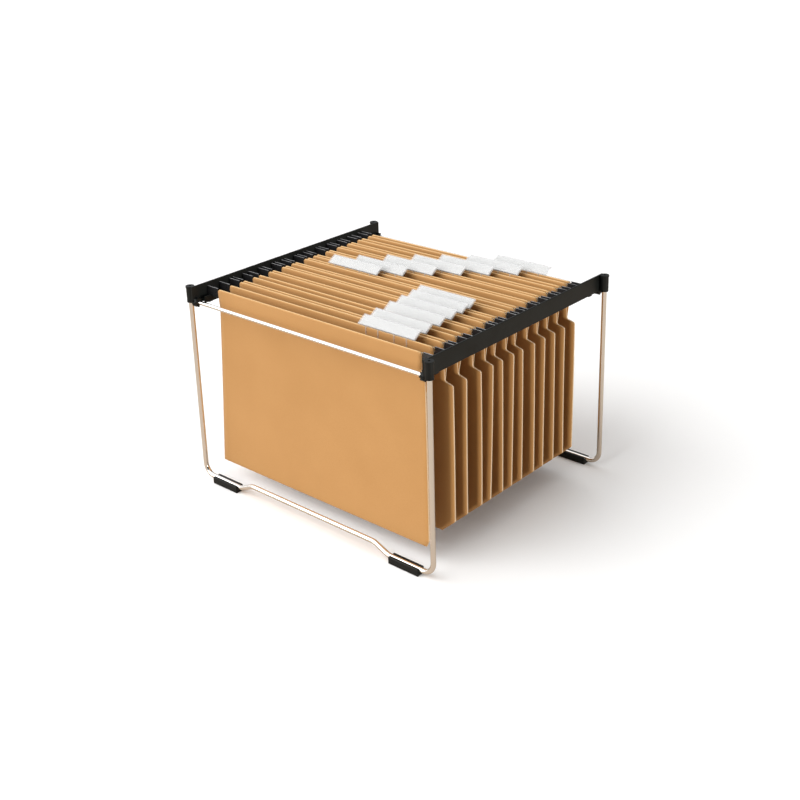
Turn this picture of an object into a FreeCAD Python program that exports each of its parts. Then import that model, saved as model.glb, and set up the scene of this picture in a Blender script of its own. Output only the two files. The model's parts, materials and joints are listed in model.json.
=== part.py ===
# Hanging file rack with thirteen suspension files.
# X runs from the left rail to the right rail, Y from the front to the back, Z up.
# The origin is on the floor, under the middle of the rack.
import FreeCAD, Part
import math
import os

V = FreeCAD.Vector

# --- rack ---
rack_width = 400.0        # between the axes of the left and right posts
rack_depth = 350.0        # between the axes of the front and rear posts
rack_height = 277.0       # floor to the top of a post
wire_d = 6.5              # steel wire of the two U frames
rod_d = 5.0               # steel rods that tie the two rails together
floor_gap = 4.0           # plastic under the wire in each foot

# --- rails ---
rail_height = 21.8
wall_t = 2.5              # outer wall of a rail
wall_set_in = 4.5         # post axis to the outer face of the wall
wall_overrun = 3.0        # wall past the post axis at each end
wall_edge_r = 0.6         # rounding along the top of the wall and the lip
ledge_width = 9.0         # from the inner face of the wall
ledge_t = 2.5
ledge_drop = 19.0         # top of the wall down to the top of the ledge
ledge_set_back = 10.0     # post axis to each end of the ledge
lip_t = 2.0               # upstanding inner edge that the file hooks ride on
lip_height = 4.5
skirt_drop = 1.6          # the lip reaches this far below the ledge
post_d = 10.5
post_rim = 0.5            # the collar stands out this far round the top of a post
post_rim_height = 2.5
post_hole_depth = 16.0
post_groove = 0.7         # width and depth of the groove beside a post
dimple_d = 3.2
dimple_depth = 1.5
boss_d = 9.5              # star-shaped boss that holds the end of a cross rod
boss_ribs = 8
boss_rib_t = 1.5
boss_rib_height = 1.6
boss_length = 7.5
rod_set_in = 2.5          # post axis to the axis of a rod
rod_rise = 0.8            # bottom of a rail up to the axis of a rod
rod_seat = 4.5            # depth of a rod in its boss
fit_gap = 0.1             # radial gap of a wire or a rod in its hole
lug_length = 7.0          # small catch under the ledge near each end
lug_width = 6.5
lug_drop = 3.0
lug_from_post = 18.0

# --- wire frames ---
corner_r = 16.0           # to the axis of the wire
kink_rise = 10.0          # the middle of the bottom run stands this much higher
kink_run = 23.0           # along X, from the low run to the raised run
kink_r = 18.0
leg_in_post = 15.0

# --- feet ---
foot_length = 45.0
foot_width = 12.0
foot_height = 9.8
foot_from_bend = 4.0      # outer end of a foot to the start of the corner bend
foot_to_kink = 4.5        # inner end of a foot to the corner where the wire rises
foot_edge_r = 1.2
clip_gap = 0.1            # wire to the walls of the foot's channel
clip_lip = 0.7            # overhang that snaps over the wire

# --- files ---
card_t = 0.6
body_gap = 0.6            # between the two panels below the neck
card_top_drop = 5.5       # top of a post down to the top of a card
panel_length = 248.5      # top edge to the bottom fold, along the card
neck_depth = 49.5         # top edge to the shoulder
hem_depth = 14.0          # card folded down over a hanger bar
hem_lead = 2.0            # straight card below the hem
card_side_gap = 12.0      # top of a card to the inner edge of the ledge
neck_taper = 2.5          # the neck narrows by this much down to the shoulder
shoulder_out = 12.0
shoulder_fall = 3.0
left_flare = 14.0         # the first file's left side has no shoulder and widens by this much
right_step = 3.0          # its right side has a small high shoulder that stands out this far
right_step_fall = 8.0
waist_depth = 25.0        # top edge to the narrowest place of the first file
top_corner_r = 5.0
shoulder_r = 3.0
cut_corner_x = 20.0       # lower corners cut off
cut_corner_z = 18.0
plain_corner_x = 4.0      # lower right corner of the first file
plain_corner_z = 8.0

# --- hanger bars ---
bar_t = 1.2
bar_height = 12.0
bar_fit = 0.15            # bar to the card round it
tongue_rise = 1.5         # a tongue stands this much above the bar inside the card
tongue_lap = 8.0          # a tongue runs this far back over the bar
tongue_tip_gap = 0.7      # end of a tongue to the wall of the rail
hook_dip = 3.0            # tongue below the top of the lip
seat_gap = 0.1            # hook to the top of the lip
notch_side_gap = 0.3      # hook to each side of the lip

# --- index tabs ---
tab_length = 88.0
tab_reach = 15.5          # along the slope
tab_lean = 57.0           # degrees back from upright
tab_wall_t = 0.6
tab_slot = 0.9            # room for the label
tab_lift = 0.4            # tab above the top of the card
finger_width = 1.6
finger_length = 11.0
finger_t = 0.5
finger_places = (-31.5, -12.5, 12.5, 31.5)
label_t = 0.4
label_side_gap = 2.0      # label to each end of the tab
label_end_gap = 0.6

# Each file: place of its fold as a share of rack_depth, its front and rear bars from
# there, then the left end of its tab as a share of rack_width. The first file is held
# open, and its left edge runs straight out to the fold.
files = (
    (-0.436, 0.6, 20.6, 0.140),
    (-0.320, -3.0, 3.0, 0.133),
    (-0.248, -5.0, 5.5, 0.127),
    (-0.172, -3.5, 3.0, 0.121),
    (-0.104, -3.0, 3.0, 0.115),
    (-0.052, -3.0, 3.0, 0.108),
    (0.015, -2.5, 3.5, -0.325),
    (0.066, -3.0, 3.5, -0.252),
    (0.136, -3.0, 3.5, -0.178),
    (0.201, -3.0, 3.5, -0.104),
    (0.261, -3.0, 4.0, -0.030),
    (0.325, -4.0, 4.5, 0.043),
    (0.389, -4.0, 4.0, 0.117),
)

# --- worked out ---
post_x = rack_width / 2
post_y = rack_depth / 2
wire_z = floor_gap + wire_d / 2
rail_bottom = rack_height - rail_height
wall_out = post_x - wall_set_in
wall_in = wall_out - wall_t
ledge_in = wall_in - ledge_width
ledge_top = rack_height - ledge_drop
ledge_half = post_y - ledge_set_back
rod_y = post_y - rod_set_in
lip_top = ledge_top + lip_height
rail_end = post_y + wall_overrun
rod_z = rail_bottom + rod_rise
card_top = rack_height - card_top_drop
neck_z = card_top - neck_depth
card_half = ledge_in - card_side_gap
hem_side = bar_t / 2 + bar_fit + card_t / 2


def box(x0, x1, y0, y1, z0, z1):
    low = V(min(x0, x1), min(y0, y1), min(z0, z1))
    return Part.makeBox(abs(x1 - x0), abs(y1 - y0), abs(z1 - z0), low)


def mirrored(shape, across):
    return shape.mirror(V(0, 0, 0), across)


def rounded_wire(corners):
    """Closed wire through (point, radius) corners, each radius a tangent arc."""
    count = len(corners)
    starts, ends, middles = [], [], []
    for i, (point, radius) in enumerate(corners):
        before = (corners[i - 1][0] - point).normalize()
        after = (corners[(i + 1) % count][0] - point).normalize()
        half = before.getAngle(after) / 2
        if radius == 0:
            starts.append(point)
            ends.append(point)
            middles.append(None)
            continue
        back = radius / math.tan(half)
        starts.append(point + before * back)
        ends.append(point + after * back)
        inward = (before + after).normalize()
        middles.append(point + inward * (radius / math.sin(half) - radius))
    edges = []
    for i in range(count):
        if middles[i] is not None:
            edges.append(Part.Arc(starts[i], middles[i], ends[i]).toShape())
        edges.append(Part.LineSegment(ends[i], starts[(i + 1) % count]).toShape())
    return Part.Wire(edges)


def rounded_prism(corners, along):
    return Part.Face(rounded_wire(corners)).extrude(along)


def plate_section(points, thickness):
    """Face of a sheet whose middle line runs through (y, z) points, mitred at bends."""
    sides = ([], [])
    last = len(points) - 1
    for i, (y, z) in enumerate(points):
        here = V(0, y, z)
        into = (here - V(0, *points[i - 1])).normalize() if i > 0 else None
        out = (V(0, *points[i + 1]) - here).normalize() if i < last else None
        into = into or out
        out = out or into
        normal_in = V(0, -into.z, into.y)
        normal_out = V(0, -out.z, out.y)
        mitre = (normal_in + normal_out).normalize()
        reach = thickness / 2 / mitre.dot(normal_in)
        sides[0].append(here + mitre * reach)
        sides[1].append(here - mitre * reach)
    loop = sides[0] + sides[1][::-1]
    return Part.Face(Part.makePolygon(loop + [loop[0]]))


def swept_round(path, diameter):
    """Round bar along a wire of tangent lines and arcs, one solid per edge, fused."""
    pieces = []
    for edge in path:
        start = edge.valueAt(edge.FirstParameter)
        heading = edge.tangentAt(edge.FirstParameter)
        circle = Part.Wire(Part.makeCircle(diameter / 2, start, heading))
        pieces.append(Part.Wire([edge]).makePipeShell([circle], True, True))
    return pieces[0].multiFuse(pieces[1:]).removeSplitter()


def bent_path(corners):
    """Edges through (point, radius) corners of an open path."""
    edges = []
    here = corners[0][0]
    for i in range(1, len(corners) - 1):
        point, radius = corners[i]
        before = (corners[i - 1][0] - point).normalize()
        after = (corners[i + 1][0] - point).normalize()
        half = before.getAngle(after) / 2
        back = radius / math.tan(half)
        inward = (before + after).normalize()
        start = point + before * back
        end = point + after * back
        middle = point + inward * (radius / math.sin(half) - radius)
        edges.append(Part.LineSegment(here, start).toShape())
        edges.append(Part.Arc(start, middle, end).toShape())
        here = end
    edges.append(Part.LineSegment(here, corners[-1][0]).toShape())
    return edges


def rounded_bar(x0, x1, z0, z1, half_length):
    """Bar along the depth with its two upper edges rounded."""
    corners = [(V(x0, -half_length, z0), 0), (V(x0, -half_length, z1), wall_edge_r),
               (V(x1, -half_length, z1), wall_edge_r), (V(x1, -half_length, z0), 0)]
    return rounded_prism(corners, V(0, 2 * half_length, 0))


def rod_boss(y):
    """Round boss with ribs round it, so that it reads as a star from the front."""
    start = wall_out - boss_length
    boss = Part.makeCylinder(boss_d / 2, boss_length, V(start, y, rod_z), V(1, 0, 0))
    ribs = []
    reach = boss_d / 2 + boss_rib_height
    for i in range(boss_ribs // 2):
        rib = box(start, wall_out, y - boss_rib_t / 2, y + boss_rib_t / 2,
                  rod_z - reach, rod_z + reach)
        rib.rotate(V(start, y, rod_z), V(1, 0, 0), 360 * i / boss_ribs)
        ribs.append(rib)
    return boss.multiFuse(ribs)


def rail_end_pieces(side_y):
    """Post, rod boss and catch at one end of the right rail, with the holes to cut."""
    y = side_y * post_y
    post = Part.makeCylinder(post_d / 2, rail_height, V(post_x, y, rail_bottom))
    rim = Part.makeCylinder(post_d / 2 + post_rim, post_rim_height,
                            V(post_x, y, rack_height - post_rim_height))
    lug_y = y - side_y * lug_from_post
    lug = box(wall_in - lug_width, wall_in, lug_y, lug_y - side_y * lug_length,
              rail_bottom - lug_drop, ledge_top - ledge_t)
    leg_hole = Part.makeCylinder(wire_d / 2 + fit_gap, post_hole_depth, V(post_x, y, rail_bottom))
    rod_hole = Part.makeCylinder(rod_d / 2 + fit_gap, rod_seat + fit_gap,
                                 V(wall_out - boss_length, side_y * rod_y, rod_z), V(1, 0, 0))
    dimple = Part.makeCylinder(dimple_d / 2, dimple_depth,
                               V(post_x, y, rack_height - dimple_depth))
    groove_y = y - side_y * (post_d / 2 + post_rim)
    groove = box(wall_out - post_groove, wall_out, groove_y, groove_y - side_y * post_groove,
                 rail_bottom, rack_height)
    return [post, rim, rod_boss(side_y * rod_y), lug], [leg_hole, rod_hole, dimple, groove]


def right_rail():
    wall = rounded_bar(wall_in, wall_out, rail_bottom, rack_height, rail_end)
    ledge = box(ledge_in, wall_in, -ledge_half, ledge_half, ledge_top - ledge_t, ledge_top)
    lip = rounded_bar(ledge_in, ledge_in + lip_t, ledge_top - ledge_t - skirt_drop, lip_top,
                      ledge_half)
    adds, cuts = [ledge, lip], []
    for side_y in (-1, 1):
        pieces, holes = rail_end_pieces(side_y)
        adds += pieces
        cuts += holes
    return wall.multiFuse(adds).cut(Part.makeCompound(cuts)).removeSplitter()


def wire_frame(y):
    """U frame: down one leg, along the bottom with its raised middle, up the other leg."""
    leg_top = rail_bottom + leg_in_post
    foot_inner = post_x - corner_r - foot_from_bend - foot_length
    rise_start = foot_inner - foot_to_kink
    half = [(V(post_x, y, leg_top), 0), (V(post_x, y, wire_z), corner_r),
            (V(rise_start, y, wire_z), kink_r),
            (V(rise_start - kink_run, y, wire_z + kink_rise), kink_r)]
    other = [(V(-point.x, y, point.z), radius) for point, radius in reversed(half)]
    return swept_round(bent_path(half + other), wire_d)


def cross_rod(y):
    end = wall_out - boss_length + rod_seat
    return Part.makeCylinder(rod_d / 2, 2 * end, V(-end, y, rod_z), V(1, 0, 0))


def foot(y):
    """Clip-on foot: a block with a channel from above that snaps over the wire."""
    outer = post_x - corner_r - foot_from_bend
    inner = outer - foot_length
    half_width = foot_width / 2
    groove = wire_d / 2 + clip_gap
    corners = [(V(inner, y - half_width, 0), foot_edge_r), (V(inner, y + half_width, 0), foot_edge_r),
               (V(inner, y + half_width, foot_height), foot_edge_r),
               (V(inner, y - half_width, foot_height), foot_edge_r)]
    block = rounded_prism(corners, V(foot_length, 0, 0))
    channel = Part.makeCylinder(groove, foot_length, V(inner, y, wire_z), V(1, 0, 0))
    mouth = box(inner, outer, y - groove + clip_lip, y + groove - clip_lip, wire_z, foot_height)
    return block.cut(channel.fuse(mouth)).removeSplitter()


def feet(y):
    right = foot(y)
    return Part.makeCompound([mirrored(right, V(1, 0, 0)), right])


def card_side(bottom):
    """Right side of a card with a neck and shoulders, from the top corner down to the fold."""
    neck_half = card_half - neck_taper
    body_half = neck_half + shoulder_out
    return [
        (V(card_half, 0, card_top), top_corner_r),
        (V(neck_half, 0, neck_z), shoulder_r),
        (V(body_half, 0, neck_z - shoulder_fall), shoulder_r),
        (V(body_half, 0, bottom + cut_corner_z), shoulder_r),
        (V(body_half - cut_corner_x, 0, bottom), 0),
    ]


def first_card_sides(bottom):
    """Right side and left side of the first file, both given as right sides."""
    waist = [(V(card_half, 0, card_top), top_corner_r),
             (V(card_half - neck_taper, 0, card_top - waist_depth), 0)]
    step = card_half + right_step
    right = waist + [(V(step, 0, card_top - waist_depth - right_step_fall), 0),
                     (V(step, 0, bottom + plain_corner_z), 0),
                     (V(step - plain_corner_x, 0, bottom), 0)]
    left = waist + [(V(card_half + left_flare, 0, bottom), 0)]
    return right, left


def card_outline(first):
    """Outline of a file seen from the front, as a prism through the whole depth."""
    bottom = card_top - panel_length - card_t
    if first:
        right, left_as_right = first_card_sides(bottom)
    else:
        right = left_as_right = card_side(bottom)
    left = [(V(-point.x, 0, point.z), radius) for point, radius in reversed(left_as_right)]
    prism = rounded_prism(right + left, V(0, rack_depth, 0))
    prism.translate(V(0, -post_y, 0))
    return prism


def file_card(outline, fold_y, front_y, back_y):
    """Two panels joined at the bottom fold, each folded over its own hanger bar."""
    half = body_gap / 2 + card_t / 2
    top = card_top - card_t / 2
    hem_end = card_top - hem_depth
    lean_start = hem_end - hem_lead
    bottom = card_top - panel_length + half
    front = [(front_y + hem_side, hem_end), (front_y + hem_side, top), (front_y - hem_side, top),
             (front_y - hem_side, lean_start)]
    back = [(back_y + hem_side, lean_start), (back_y + hem_side, top), (back_y - hem_side, top),
            (back_y - hem_side, hem_end)]
    body = [(fold_y - half, neck_z), (fold_y - half, bottom),
            (fold_y + half, bottom), (fold_y + half, neck_z)]
    reach = card_half + left_flare + shoulder_out
    sheet = plate_section(front + body + back, card_t)
    sheet.translate(V(-reach, 0, 0))
    return sheet.extrude(V(2 * reach, 0, 0)).common(outline)


def hanger_bar(y):
    """Flat bar with a raised tongue at each end, notched to ride on the lip of a rail."""
    bar_top = card_top - card_t - bar_fit
    bar_bottom = bar_top - bar_height
    bar_end = card_half - top_corner_r
    tip = wall_in - tongue_tip_gap
    tongue_top = bar_top + tongue_rise
    tongue_bottom = lip_top - hook_dip
    y0, y1 = y - bar_t / 2, y + bar_t / 2
    pieces, cuts = [], []
    for side in (-1, 1):
        pieces.append(box(side * (bar_end - tongue_lap), side * (card_half + card_t), y0, y1,
                          tongue_bottom, bar_top - top_corner_r))
        pieces.append(box(side * (card_half + card_t), side * tip, y0, y1,
                          tongue_bottom, tongue_top))
        cuts.append(box(side * (ledge_in - notch_side_gap),
                        side * (ledge_in + lip_t + notch_side_gap), y0, y1,
                        tongue_bottom, lip_top + seat_gap))
    bar = box(-bar_end, bar_end, y0, y1, bar_bottom, bar_top)
    return bar.multiFuse(pieces).cut(Part.makeCompound(cuts)).removeSplitter()


def tab_box(x0, x1, near, far, low, high, y):
    """Box in the tab's sloped frame: near to far up the slope, low to high off it."""
    solid = box(x0, x1, -high, -low, near, far)
    solid.rotate(V(0, 0, 0), V(1, 0, 0), -tab_lean)
    solid.translate(V(0, y, card_top + tab_lift))
    return solid


def index_tab(x0, back_y):
    """Clear sleeve leaning back over the card, with fingers down the front of the hem."""
    thick = 2 * tab_wall_t + tab_slot
    hem_face = back_y - hem_side - card_t / 2
    sleeve = tab_box(x0, x0 + tab_length, 0, tab_reach, 0, thick, hem_face)
    slot = tab_box(x0, x0 + tab_length, tab_wall_t, tab_reach, tab_wall_t,
                   tab_wall_t + tab_slot, hem_face)
    fingers = []
    middle = x0 + tab_length / 2
    for place in finger_places:
        left = middle + place - finger_width / 2
        fingers.append(box(left, left + finger_width, hem_face - finger_t, hem_face,
                           card_top - finger_length, card_top + tab_lift + tab_wall_t))
    return sleeve.cut(slot).multiFuse(fingers).removeSplitter()


def tab_label(x0, back_y):
    hem_face = back_y - hem_side - card_t / 2
    low = tab_wall_t + (tab_slot - label_t) / 2
    return tab_box(x0 + label_side_gap, x0 + tab_length - label_side_gap,
                   tab_wall_t + label_end_gap, tab_reach - label_end_gap,
                   low, low + label_t, hem_face)


def write(name, shape):
    solids = shape.Solids
    assert solids and shape.isValid(), name
    result = solids[0] if len(solids) == 1 else Part.makeCompound(solids)
    result.exportStep(os.path.join("parts", name + ".step"))
    print(name, len(solids), round(shape.Volume, 1))


def main():
    os.makedirs("parts", exist_ok=True)
    rail = right_rail()
    write("right_rail", rail)
    write("left_rail", mirrored(rail, V(1, 0, 0)))
    for name, side in (("front", -1), ("rear", 1)):
        write(name + "_wire_frame", wire_frame(side * post_y))
        write(name + "_cross_rod", cross_rod(side * rod_y))
        write(name + "_feet", feet(side * post_y))
    for number, (share, front, back, tab_share) in enumerate(files, start=1):
        fold_y = share * rack_depth
        front_y, back_y = fold_y + front, fold_y + back
        name = "file_%02d_" % number
        bars = [hanger_bar(front_y), hanger_bar(back_y)]
        write(name + "card", file_card(card_outline(number == 1), fold_y, front_y, back_y))
        write(name + "hangers", Part.makeCompound(bars))
        write(name + "tab", index_tab(tab_share * rack_width, back_y))
        write(name + "label", tab_label(tab_share * rack_width, back_y))


main()
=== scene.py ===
import json
import math
import bpy
import numpy as np
from mathutils import Matrix, Vector

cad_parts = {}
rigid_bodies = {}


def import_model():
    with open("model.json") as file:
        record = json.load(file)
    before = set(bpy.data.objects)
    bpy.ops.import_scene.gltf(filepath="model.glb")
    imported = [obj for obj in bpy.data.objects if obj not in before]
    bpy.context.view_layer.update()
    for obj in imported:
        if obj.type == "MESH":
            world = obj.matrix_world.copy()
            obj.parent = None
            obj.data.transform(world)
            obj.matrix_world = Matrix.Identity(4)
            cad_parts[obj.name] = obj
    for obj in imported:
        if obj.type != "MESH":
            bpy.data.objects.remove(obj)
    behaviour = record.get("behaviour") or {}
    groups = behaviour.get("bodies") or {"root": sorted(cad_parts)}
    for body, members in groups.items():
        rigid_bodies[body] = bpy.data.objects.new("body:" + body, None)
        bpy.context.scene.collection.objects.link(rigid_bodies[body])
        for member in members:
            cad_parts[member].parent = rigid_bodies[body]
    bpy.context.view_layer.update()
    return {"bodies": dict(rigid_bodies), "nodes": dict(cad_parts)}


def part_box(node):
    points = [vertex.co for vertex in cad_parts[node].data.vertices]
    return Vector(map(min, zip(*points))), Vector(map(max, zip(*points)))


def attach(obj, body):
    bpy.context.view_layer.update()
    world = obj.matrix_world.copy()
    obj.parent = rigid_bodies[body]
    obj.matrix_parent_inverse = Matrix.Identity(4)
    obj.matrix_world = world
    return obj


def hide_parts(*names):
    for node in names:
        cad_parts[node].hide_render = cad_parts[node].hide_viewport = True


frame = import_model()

mm = 0.001
nodes = frame["nodes"]
fileNames = sorted(name for name in frame["bodies"] if name.startswith("file_"))
print("frame loaded with", len(nodes), "nodes and", len(fileNames), "files")


camera = {
    "azimuth": 41.78,        # degrees round to the right of straight on
    "elevation": 20.36,
    "roll": -1.69,
    "distance": 1.6585,      # m from the plane through the middle of the rack
    "slideX": -0.0036,       # m sideways and up, across the line of sight
    "slideY": 0.2277,
    "lens": 54.985,
    "sensor": 36,
    "shiftY": -0.125,
    "baseline": 7 * mm,      # lifts the whole camera
}


def addCamera(c):
    az, el, roll = (math.radians(c[k]) for k in ("azimuth", "elevation", "roll"))
    back = Vector((math.sin(az) * math.cos(el), -math.cos(az) * math.cos(el), math.sin(el)))
    flat = Vector((0, 0, 1)).cross(back).normalized()
    rise = back.cross(flat)
    right = flat * math.cos(roll) + rise * math.sin(roll)
    up = rise * math.cos(roll) - flat * math.sin(roll)
    place = right * c["slideX"] + up * c["slideY"] + back * c["distance"]
    place.z += c["baseline"]
    data = bpy.data.cameras.new("camera")
    data.lens = c["lens"]
    data.sensor_width = c["sensor"]
    data.shift_y = c["shiftY"]
    cam = bpy.data.objects.new("camera", data)
    cam.matrix_world = Matrix.Translation(place) @ Matrix((right, up, back)).transposed().to_4x4()
    bpy.context.scene.collection.objects.link(cam)
    bpy.context.scene.camera = cam


def newMaterial(name):
    mat = bpy.data.materials.new(name)
    mat.use_nodes = True
    tree = mat.node_tree
    return mat, tree, tree.nodes["Principled BSDF"]


def addNode(tree, kind, **inputs):
    node = tree.nodes.new(kind)
    for key, value in inputs.items():
        node.inputs[key.replace("_", " ")].default_value = value
    return node


def objectCoords(tree, scale=(1, 1, 1)):
    coords = tree.nodes.new("ShaderNodeTexCoord")
    mapping = addNode(tree, "ShaderNodeMapping", Scale=scale)
    tree.links.new(coords.outputs["Object"], mapping.inputs["Vector"])
    return mapping.outputs["Vector"]


def noise(tree, vector, scale, detail, roughness):
    node = addNode(tree, "ShaderNodeTexNoise", Scale=scale, Detail=detail, Roughness=roughness)
    tree.links.new(vector, node.inputs["Vector"])
    return node.outputs["Fac"]


def ramp(tree, fac, stops):
    node = tree.nodes.new("ShaderNodeValToRGB")
    els = node.color_ramp.elements
    while len(els) < len(stops):
        els.new(0.5)
    for el, (place, colour) in zip(els, stops):
        el.position = place
        el.color = (*colour, 1)
    tree.links.new(fac, node.inputs["Fac"])
    return node.outputs["Color"]


def spread(tree, fac, low, high, fromLow=0.3, fromHigh=0.7):
    # Noise mostly lies between 0.3 and 0.7, so that range is the usual one to stretch.
    node = addNode(tree, "ShaderNodeMapRange", From_Min=fromLow, From_Max=fromHigh,
                   To_Min=low, To_Max=high)
    tree.links.new(fac, node.inputs["Value"])
    return node.outputs["Result"]


def upward(tree, low, high):
    # 0 on faces whose normal rises less than low, up to 1 where it rises more than high.
    geometry = tree.nodes.new("ShaderNodeNewGeometry")
    parts = tree.nodes.new("ShaderNodeSeparateXYZ")
    tree.links.new(geometry.outputs["Normal"], parts.inputs["Vector"])
    return spread(tree, parts.outputs["Z"], 0.0, 1.0, low, high)


def addBump(tree, shader, height, strength, distance, after=None):
    bump = addNode(tree, "ShaderNodeBump", Strength=strength, Distance=distance)
    tree.links.new(height, bump.inputs["Height"])
    if after is not None:
        tree.links.new(after, bump.inputs["Normal"])
    tree.links.new(bump.outputs["Normal"], shader.inputs["Normal"])
    return bump.outputs["Normal"]


def setRoughness(tree, shader, fac, f, smoother, rougher):
    # Roughness wanders between a little under and a little over the finish's own.
    tree.links.new(spread(tree, fac, f["roughness"] - smoother, f["roughness"] + rougher),
                   shader.inputs["Roughness"])


def mixColour(tree, fac, a, b):
    node = tree.nodes.new("ShaderNodeMix")
    node.data_type = "RGBA"
    for socket, value in ((node.inputs[0], fac), (node.inputs[6], a), (node.inputs[7], b)):
        if isinstance(value, bpy.types.NodeSocket):
            tree.links.new(value, socket)
        else:
            socket.default_value = value
    return node.outputs[2]


# Noise scales are in patterns per metre, bump depths in metres.
cardFinish = {
    "light": (0.560, 0.300, 0.106),
    "dark": (0.515, 0.270, 0.090),
    "fleck": (0.38, 0.180, 0.055),
    "paintedCrownHighlight": (0.74, 0.50, 0.24),    # painted highlight: faces that look up, such as the crowns of the hems, are painted this lighter card colour
    "paintedCrownHighlightRise": (0.6, 0.97),       # how far a face looks up where the painted highlight starts and where it is full
    "roughness": 0.62,
    "sheen": 0.08,
    "specular": 0.35,
    "fibreScale": 900,
    "fibreDepth": 0.2 * mm,
    "cloudScale": 14,
    "cloudDepth": 2 * mm,
    "fleckScale": 2600,
    "fleckShare": 0.5,
}
edgeFinish = {"colour": (0.95, 0.82, 0.61), "shade": 0.86, "roughness": 0.8, "fibreScale": 1500}
plasticFinish = {
    "colour": (0.006, 0.007, 0.0065),
    "pale": (0.011, 0.0125, 0.012),
    "roughness": 0.40,
    "specular": 0.20,
    "grainScale": 1400,
    "grainDepth": 0.15 * mm,
    "wearScale": 35,
}
paintFinish = {
    "colour": (0.014, 0.014, 0.015),
    # painted highlight: the pale grey that up-facing faces are mixed towards, in patches
    "paintedTopHighlight": (0.50, 0.50, 0.51),
    "paintedTopHighlightRise": (0.6, 0.9),
    "paintedTopHighlightShare": (0.25, 0.9),
    "roughness": 0.30,
    "peelScale": 420,
    "peelDepth": 0.2 * mm,
    "patchScale": 160,
}
chromeFinish = {"colour": (0.96, 0.93, 0.89), "roughness": 0.10, "hazeScale": 60,
                "rippleScale": 250, "rippleDepth": 0.2 * mm}
clearFinish = {"colour": (0.72, 0.73, 0.74), "alpha": 0.26, "roughness": 0.10, "ior": 1.49,
               "smearScale": 120}
labelFinish = {"colour": (0.71, 0.71, 0.70), "shade": (0.69, 0.69, 0.685), "roughness": 0.75,
               "fibreScale": 1800, "fibreDepth": 0.1 * mm}


def cardMaterial(f):
    mat, tree, shader = newMaterial("manilaCard")
    vector = objectCoords(tree)
    fibres = noise(tree, objectCoords(tree, (1, 1, 3)), f["fibreScale"], 6, 0.7)
    clouds = noise(tree, vector, f["cloudScale"], 3, 0.5)
    flecks = noise(tree, vector, f["fleckScale"], 2, 0.5)
    base = ramp(tree, clouds, ((0.25, f["dark"]), (0.75, f["light"])))
    fibred = mixColour(tree, spread(tree, fibres, 0.0, 0.35), base, (*f["fleck"], 1))
    speck = spread(tree, flecks, 0.0, f["fleckShare"], 0.66, 0.75)
    flecked = mixColour(tree, speck, fibred, (*f["fleck"], 1))
    # Painted highlight: faces that look up are mixed towards a lighter card colour, standing in for
    # light from above.
    paintedCrownMask = upward(tree, *f["paintedCrownHighlightRise"])
    tree.links.new(mixColour(tree, paintedCrownMask, flecked, (*f["paintedCrownHighlight"], 1)), shader.inputs["Base Color"])
    setRoughness(tree, shader, fibres, f, 0.08, 0.1)
    shader.inputs["Sheen Weight"].default_value = f["sheen"]
    shader.inputs["Specular IOR Level"].default_value = f["specular"]
    fine = addBump(tree, shader, fibres, 0.12, f["fibreDepth"])
    addBump(tree, shader, clouds, 0.10, f["cloudDepth"], fine)
    return mat


def cutEdgeMaterial(f):
    mat, tree, shader = newMaterial("cardCutEdge")
    fibres = noise(tree, objectCoords(tree), f["fibreScale"], 4, 0.7)
    shaded = tuple(f["shade"] * c for c in f["colour"])
    tree.links.new(ramp(tree, fibres, ((0.3, shaded), (0.7, f["colour"]))),
                   shader.inputs["Base Color"])
    shader.inputs["Roughness"].default_value = f["roughness"]
    return mat


def plasticMaterial(f):
    mat, tree, shader = newMaterial("blackPlastic")
    vector = objectCoords(tree)
    grain = noise(tree, vector, f["grainScale"], 3, 0.55)
    wear = noise(tree, vector, f["wearScale"], 4, 0.6)
    tree.links.new(ramp(tree, wear, ((0.35, f["colour"]), (0.7, f["pale"]))),
                   shader.inputs["Base Color"])
    setRoughness(tree, shader, wear, f, 0.05, 0.09)
    shader.inputs["Specular IOR Level"].default_value = f["specular"]
    addBump(tree, shader, grain, 0.10, f["grainDepth"])
    return mat


def paintMaterial(f):
    mat, tree, shader = newMaterial("paintedSteel")
    vector = objectCoords(tree)
    peel = noise(tree, vector, f["peelScale"], 2, 0.4)
    patches = noise(tree, vector, f["patchScale"], 5, 0.65)
    # Painted highlight: faces that look up are mixed in patches towards a pale grey, standing in for
    # light caught on the tops of the hanger bars.
    paintedHighlightMask = addNode(tree, "ShaderNodeMath")
    paintedHighlightMask.operation = "MULTIPLY"
    tree.links.new(upward(tree, *f["paintedTopHighlightRise"]), paintedHighlightMask.inputs[0])
    tree.links.new(spread(tree, patches, *f["paintedTopHighlightShare"]), paintedHighlightMask.inputs[1])
    tree.links.new(mixColour(tree, paintedHighlightMask.outputs[0], (*f["colour"], 1), (*f["paintedTopHighlight"], 1)),
                   shader.inputs["Base Color"])
    setRoughness(tree, shader, patches, f, 0.05, 0.12)
    addBump(tree, shader, peel, 0.08, f["peelDepth"])
    return mat


def chromeMaterial(f):
    mat, tree, shader = newMaterial("chromePlate")
    vector = objectCoords(tree)
    haze = noise(tree, vector, f["hazeScale"], 5, 0.6)
    setRoughness(tree, shader, haze, f, 0.03, 0.05)
    shader.inputs["Base Color"].default_value = (*f["colour"], 1)
    shader.inputs["Metallic"].default_value = 1.0
    ripple = noise(tree, vector, f["rippleScale"], 2, 0.5)
    addBump(tree, shader, ripple, 0.03, f["rippleDepth"])
    return mat


def clearMaterial(f):
    mat, tree, shader = newMaterial("clearPlastic")
    smear = noise(tree, objectCoords(tree), f["smearScale"], 4, 0.6)
    setRoughness(tree, shader, smear, f, 0.04, 0.06)
    shader.inputs["Base Color"].default_value = (*f["colour"], 1)
    shader.inputs["Alpha"].default_value = f["alpha"]
    shader.inputs["IOR"].default_value = f["ior"]
    return mat


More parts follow.
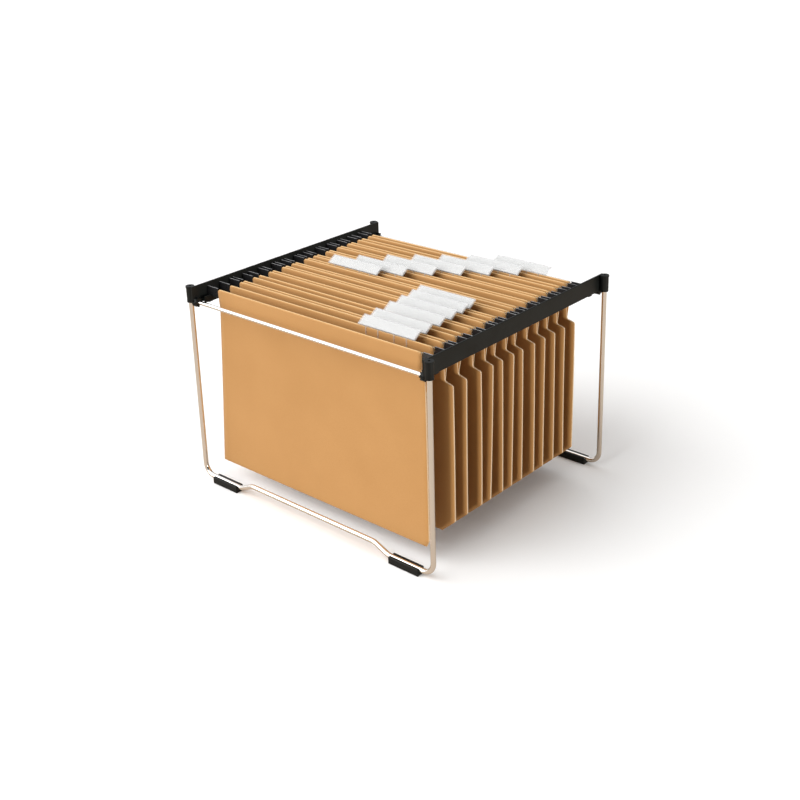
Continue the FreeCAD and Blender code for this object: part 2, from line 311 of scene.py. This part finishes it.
def labelMaterial(f):
    mat, tree, shader = newMaterial("labelPaper")
    fibres = noise(tree, objectCoords(tree), f["fibreScale"], 4, 0.6)
    tree.links.new(ramp(tree, fibres, ((0.3, f["shade"]), (0.7, f["colour"]))),
                   shader.inputs["Base Color"])
    shader.inputs["Roughness"].default_value = f["roughness"]
    addBump(tree, shader, fibres, 0.03, f["fibreDepth"])
    return mat


materials = {
    "card": cardMaterial(cardFinish),
    "cutEdge": cutEdgeMaterial(edgeFinish),
    "plastic": plasticMaterial(plasticFinish),
    "paint": paintMaterial(paintFinish),
    "chrome": chromeMaterial(chromeFinish),
    "clear": clearMaterial(clearFinish),
    "label": labelMaterial(labelFinish),
}


def finishOf(node):
    if "rail" in node or "feet" in node:
        return "plastic"
    if "wire" in node or "rod" in node:
        return "chrome"
    return {"card": "card", "hangers": "paint", "tab": "clear", "label": "label"}[node.split("_")[-1]]


def coatNodes():
    for name, obj in nodes.items():
        obj.data.materials.clear()
        obj.data.materials.append(materials[finishOf(name)])


card = {
    "thickness": 0.6 * mm,
    "bodyGap": 0.6 * mm,         # between the panels below the neck
    "barThickness": 1.2 * mm,
    "hemSide": 1.05 * mm,        # middle of the bar to the middle of the card round it
    "hemDepth": 14 * mm,
    "neckDepth": 49.5 * mm,
    "neckTaper": 2.5 * mm,       # each side draws in by this much down to the neck
    "topHalf": 172 * mm,
    "topRadius": 5 * mm,
    "shoulderOut": 12 * mm,
    "shoulderFall": 3 * mm,
    "shoulderRadius": 3 * mm,
    "cutCornerX": 20 * mm,
    "cutCornerZ": 18 * mm,
    "leftFlare": 14 * mm,        # the first file's plain left side widens by this much
    "rightStep": 3 * mm,         # its right side has a small high shoulder
    "rightStepFall": 8 * mm,
    "plainWaistDepth": 25 * mm,
    "plainCornerX": 4 * mm,
    "plainCornerZ": 8 * mm,
    "plainSoftening": 1 * mm,    # radius of its other corners
    "foldSlice": 0.3 * mm,       # the fold's place is read from this much of the card's bottom
    "foldRise": 1.2 * mm,        # the panels' lowest row stands this far over it
    "evenLean": 0.6,             # share of the lean to the neck that is straight, the rest is eased
    "bowFlatten": 0.4,           # how much less a panel bows at its sides
    "columns": 48,
    "bodyRows": 40,
    "flapRows": 4,
    "hemSteps": 9,
    "foldSteps": 7,
}
# How far each file's body bows forward or back, and how far its right edge swings, in mm.
bows = (0.6, 1.4, -1.0, 1.8, -0.8, 1.2, -1.6, 0.9, 1.5, -1.1, 0.7, -1.4, 1.0)
swings = (0.6, 0.8, -0.8, 0.6, -6.0, 0.8, -4.0, -0.7, 0.9, -1.5, 0.8, 1.2, -1.0)


def roundedLine(points, radii, steps=5):
    # Corners become arcs: each is a quadratic curve from its start tangent to its end tangent.
    # An arc takes up to half of each neighbouring stretch, and nearly all of the first one.
    firstShare, share = 0.98, 0.49
    line = [np.array(points[0], float)]
    for before, here, after, r in zip(points, points[1:], points[2:], radii[1:]):
        before, here, after = (np.array(p, float) for p in (before, here, after))
        a, b = before - here, after - here
        la, lb = np.linalg.norm(a), np.linalg.norm(b)
        half = math.acos(np.clip(np.dot(a, b) / la / lb, -1, 1)) / 2
        shareBefore = firstShare if len(line) == 1 else share
        back = min(r / math.tan(half), shareBefore * la, share * lb)
        t = np.linspace(0, 1, steps)[:, None]
        start, end = here + a / la * back, here + b / lb * back
        line.extend((1 - t) ** 2 * start + 2 * t * (1 - t) * here + t ** 2 * end)
    line.append(np.array(points[-1], float))
    return np.array(line)


def sideOutline(c, top, bottom):
    # Half width against height down one side of a card, from its top edge to its fold.
    neckHalf = c["topHalf"] - c["neckTaper"]
    neckZ = top - c["neckDepth"]
    bodyHalf = neckHalf + c["shoulderOut"]
    points = [(c["topHalf"] - c["topRadius"], top), (c["topHalf"], top), (neckHalf, neckZ),
              (bodyHalf, neckZ - c["shoulderFall"]), (bodyHalf, bottom + c["cutCornerZ"]),
              (bodyHalf - c["cutCornerX"], bottom)]
    radii = [0, c["topRadius"], c["shoulderRadius"], c["shoulderRadius"], c["shoulderRadius"], 0]
    return roundedLine(points, radii)


def plainOutline(c, top, lowerPoints):
    # The first file has a slight waist close to its top, and the rest of the side is given.
    points = [(c["topHalf"] - c["topRadius"], top), (c["topHalf"], top),
              (c["topHalf"] - c["neckTaper"], top - c["plainWaistDepth"])] + lowerPoints
    radii = [0, c["topRadius"]] + [c["plainSoftening"]] * len(lowerPoints) + [0]
    return roundedLine(points, radii)


def firstFileSides(c, top, bottom):
    # Its right side steps out high up and has a small cut corner, its left side is one slant.
    wide = c["topHalf"] + c["rightStep"]
    stepZ = top - c["plainWaistDepth"] - c["rightStepFall"]
    right = plainOutline(c, top, [(wide, stepZ), (wide, bottom + c["plainCornerZ"]),
                                  (wide - c["plainCornerX"], bottom)])
    left = plainOutline(c, top, [(c["topHalf"] + c["leftFlare"], bottom)])
    return right, left


def panelLine(c, z, barY, foldY, side, top):
    # Middle of a panel against height: beside its bar, leaning in to the neck, down to the fold.
    # The lean is part straight and part the curve 3tt - 2ttt, with t from 0 at the hem to 1.
    hemY = barY + side * c["hemSide"]
    endY = foldY + side * (c["bodyGap"] + c["thickness"]) / 2
    leanZ = top - c["hemDepth"]
    neckZ = top - c["neckDepth"]
    t = np.clip((leanZ - z) / (leanZ - neckZ), 0, 1)
    even = c["evenLean"]
    return hemY + (endY - hemY) * (even * t + (1 - even) * t * t * (3 - 2 * t))


def foldPlace(c, name, bottom):
    # Depth of the fold: the mean over the lowest points of the card's own node.
    mesh = nodes[name + "_card"].data
    points = np.empty(len(mesh.vertices) * 3)
    mesh.vertices.foreach_get("co", points)
    points = points.reshape(-1, 3)
    return points[points[:, 2] < bottom + c["foldSlice"], 1].mean()


def hemArc(c, barY, sign, top):
    # Half circle over a bar, from its flap side to its panel side: a cosine across, a sine up.
    turn = np.linspace(0, math.pi, c["hemSteps"])
    r = c["hemSide"]
    return barY + sign * r * np.cos(turn), top - c["thickness"] / 2 - r + r * np.sin(turn)


def profileLine(c, name, right, left, top, bottom):
    # Rows go up the front flap, over the bar, down the front panel, round the fold and so back.
    foldY = foldPlace(c, name, bottom)
    barLow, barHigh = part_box(name + "_hangers")
    frontBar, backBar = barLow[1] + c["barThickness"] / 2, barHigh[1] - c["barThickness"] / 2
    half, r = c["thickness"] / 2, c["hemSide"]
    even = np.linspace(top - c["hemDepth"], bottom, c["bodyRows"])
    heights = np.unique(np.round(np.concatenate([right[:, 1], left[:, 1], even]), 5))[::-1]
    heights = heights[(heights < top - r - half) & (heights > bottom + c["foldRise"])]
    hem = np.linspace(top - c["hemDepth"], top - half - r, c["flapRows"])
    frontArcY, frontArcZ = hemArc(c, frontBar, 1, top)
    backArcY, backArcZ = hemArc(c, backBar, -1, top)
    frontY = panelLine(c, heights, frontBar, foldY, -1, top)
    backY = panelLine(c, heights, backBar, foldY, 1, top)
    turn = np.linspace(0, math.pi, c["foldSteps"])
    foldR = (c["bodyGap"] + c["thickness"]) / 2
    foldYs, foldZs = foldY - foldR * np.cos(turn), bottom + half + foldR - foldR * np.sin(turn)
    lineY = np.concatenate([np.full(len(hem), frontBar + r), frontArcY[1:-1], frontY, foldYs,
                            backY[::-1], backArcY[::-1][1:-1], np.full(len(hem), backBar - r)])
    lineZ = np.concatenate([hem, frontArcZ[1:-1], heights, foldZs,
                            heights[::-1], backArcZ[::-1][1:-1], hem[::-1]])
    return lineY, lineZ


def cardSheet(c, name, index):
    # A card is its profile line carried across. At each height x runs from the left outline to
    # the right one. The bow is a half sine down the body that eases off towards the sides, and
    # the swing grows with the square of the way down and in proportion to x.
    low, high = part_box(name + "_card")
    top, bottom = high[2], low[2]
    if index == 0:
        right, left = firstFileSides(c, top, bottom)
    else:
        right = left = sideOutline(c, top, bottom)
    lineY, lineZ = profileLine(c, name, right, left, top, bottom)
    toRight = np.interp(-lineZ, -right[:, 1], right[:, 0])
    toLeft = np.interp(-lineZ, -left[:, 1], left[:, 0])
    v = np.linspace(0, 1, c["columns"])[None, :]
    x = -toLeft[:, None] + (toRight + toLeft)[:, None] * v
    across = x / c["topHalf"]
    still = c["neckDepth"] * 0.5       # the upper half of the neck doesn't bend
    down = np.clip((top - still - lineZ) / (top - bottom - still), 0, 1)[:, None]
    bend = (bows[index] * np.sin(math.pi * down) * (1 - c["bowFlatten"] * across ** 2)
            + swings[index] * down ** 2 * across) * mm

    # The sheet is offset half its thickness each way along the profile's normal.
    tangent = np.stack([np.gradient(lineY), np.gradient(lineZ)])
    tangent /= np.linalg.norm(tangent, axis=0)
    normal = np.stack([-tangent[1], tangent[0]])
    grids = []
    for offset in (c["thickness"] / 2, -c["thickness"] / 2):
        y = (lineY + offset * normal[0])[:, None] + bend
        z = (lineZ + offset * normal[1])[:, None] + np.zeros_like(x)
        grids.append(np.stack([x, y, z], axis=-1))
    return joinedSheet(name + "CardSheet", grids[0], grids[1])


def joinedSheet(name, outer, inner):
    # Two equal grids make the faces of a sheet, and strips round their border close it.
    rows, cols = outer.shape[:2]
    points = np.concatenate([outer.reshape(-1, 3), inner.reshape(-1, 3)])
    number = np.arange(rows * cols).reshape(rows, cols)
    a, b, c, d = number[:-1, :-1], number[:-1, 1:], number[1:, 1:], number[1:, :-1]
    outerFaces = np.stack([a, d, c, b], axis=-1).reshape(-1, 4)
    innerFaces = outerFaces[:, ::-1] + rows * cols
    ring = np.concatenate([number[0, :-1], number[:-1, -1], number[-1, :0:-1], number[:0:-1, 0]])
    nextRing = np.roll(ring, -1)
    edgeFaces = np.stack([ring, nextRing, nextRing + rows * cols, ring + rows * cols], axis=-1)
    faces = np.concatenate([outerFaces, innerFaces, edgeFaces])
    mesh = bpy.data.meshes.new(name)
    mesh.from_pydata(points.tolist(), [], faces.tolist())
    slots = np.zeros(len(faces), dtype=np.int32)
    slots[len(outerFaces) + len(innerFaces):] = 1
    mesh.polygons.foreach_set("material_index", slots)
    mesh.polygons.foreach_set("use_smooth", slots == 0)
    mesh.update()
    obj = bpy.data.objects.new(name, mesh)
    bpy.context.scene.collection.objects.link(obj)
    return obj


def addCards():
    for index, name in enumerate(fileNames):
        sheet = cardSheet(card, name, index)
        sheet.data.materials.append(materials["card"])
        sheet.data.materials.append(materials["cutEdge"])
        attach(sheet, name)
        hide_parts(name + "_card")
    print("cards made:", len(fileNames))


stage = {
    "floorSize": 40.0,
    "floorColour": (0.97, 0.97, 0.97),   # what is seen directly
    "floorBounce": (0.50, 0.42, 0.345),  # what every other ray meets
    "floorRoughness": 0.9,
    "floorSpecular": 0.1,
    "bright": 1.00,           # studio brightness on its lit side and on its dim side
    "dim": 0.03,
    "litSide": (-0.85, -0.42, 0.32),
    "dimUntil": -0.1,         # cosine of the angle to the lit side where the change starts and ends
    "brightFrom": 0.85,
    "backdrop": 1.0,
}
lights = (
    # name, direction it comes from, spread in degrees, strength, colour
    ("keySoft", (-0.36, -0.76, 0.54), 64, 2.75, (1.0, 0.995, 0.985)),
    ("topSoft", (0.0, 0.1, 1.0), 100, 0.85, (1.0, 1.0, 1.0)),
    ("edgeSoft", (1.0, 0.02, 0.12), 10, 2.2, (1.0, 0.97, 0.92)),
)


def addFloor(s):
    mesh = bpy.data.meshes.new("floor")
    h = s["floorSize"] / 2
    mesh.from_pydata([(-h, -h, 0), (h, -h, 0), (h, h, 0), (-h, h, 0)], [], [(0, 1, 2, 3)])
    floor = bpy.data.objects.new("floor", mesh)
    bpy.context.scene.collection.objects.link(floor)
    mat, tree, shader = newMaterial("paleFloor")
    path = tree.nodes.new("ShaderNodeLightPath")
    tree.links.new(mixColour(tree, path.outputs["Is Camera Ray"], (*s["floorBounce"], 1),
                             (*s["floorColour"], 1)), shader.inputs["Base Color"])
    shader.inputs["Roughness"].default_value = s["floorRoughness"]
    shader.inputs["Specular IOR Level"].default_value = s["floorSpecular"]
    floor.data.materials.append(mat)


def addStudio(s):
    # The studio's brightness follows the angle to its lit side, and plain white shows behind.
    world = bpy.data.worlds.new("studio")
    world.use_nodes = True
    tree = world.node_tree
    lit = tree.nodes["Background"]
    coords = tree.nodes.new("ShaderNodeTexCoord")
    facing = tree.nodes.new("ShaderNodeVectorMath")
    facing.operation = "DOT_PRODUCT"
    tree.links.new(coords.outputs["Generated"], facing.inputs[0])
    facing.inputs[1].default_value = s["litSide"]
    strength = spread(tree, facing.outputs["Value"], s["dim"], s["bright"],
                      s["dimUntil"], s["brightFrom"])
    tree.links.new(strength, lit.inputs["Strength"])
    lit.inputs["Color"].default_value = (1, 1, 1, 1)
    plain = tree.nodes.new("ShaderNodeBackground")
    plain.inputs["Color"].default_value = (1, 1, 1, 1)
    plain.inputs["Strength"].default_value = s["backdrop"]
    path = tree.nodes.new("ShaderNodeLightPath")
    mix = tree.nodes.new("ShaderNodeMixShader")
    tree.links.new(path.outputs["Is Camera Ray"], mix.inputs[0])
    tree.links.new(lit.outputs[0], mix.inputs[1])
    tree.links.new(plain.outputs[0], mix.inputs[2])
    tree.links.new(mix.outputs[0], tree.nodes["World Output"].inputs["Surface"])
    bpy.context.scene.world = world
    bpy.context.scene.view_settings.view_transform = "Standard"


def addLights():
    for name, source, angle, energy, colour in lights:
        data = bpy.data.lights.new(name, "SUN")
        data.angle = math.radians(angle)
        data.energy = energy
        data.color = colour
        lamp = bpy.data.objects.new(name, data)
        lamp.rotation_euler = Vector(source).to_track_quat("Z", "Y").to_euler()
        bpy.context.scene.collection.objects.link(lamp)


coatNodes()
print("finishes set")
addCards()
addFloor(stage)
addStudio(stage)
addLights()
addCamera(camera)
print("stage and camera set")
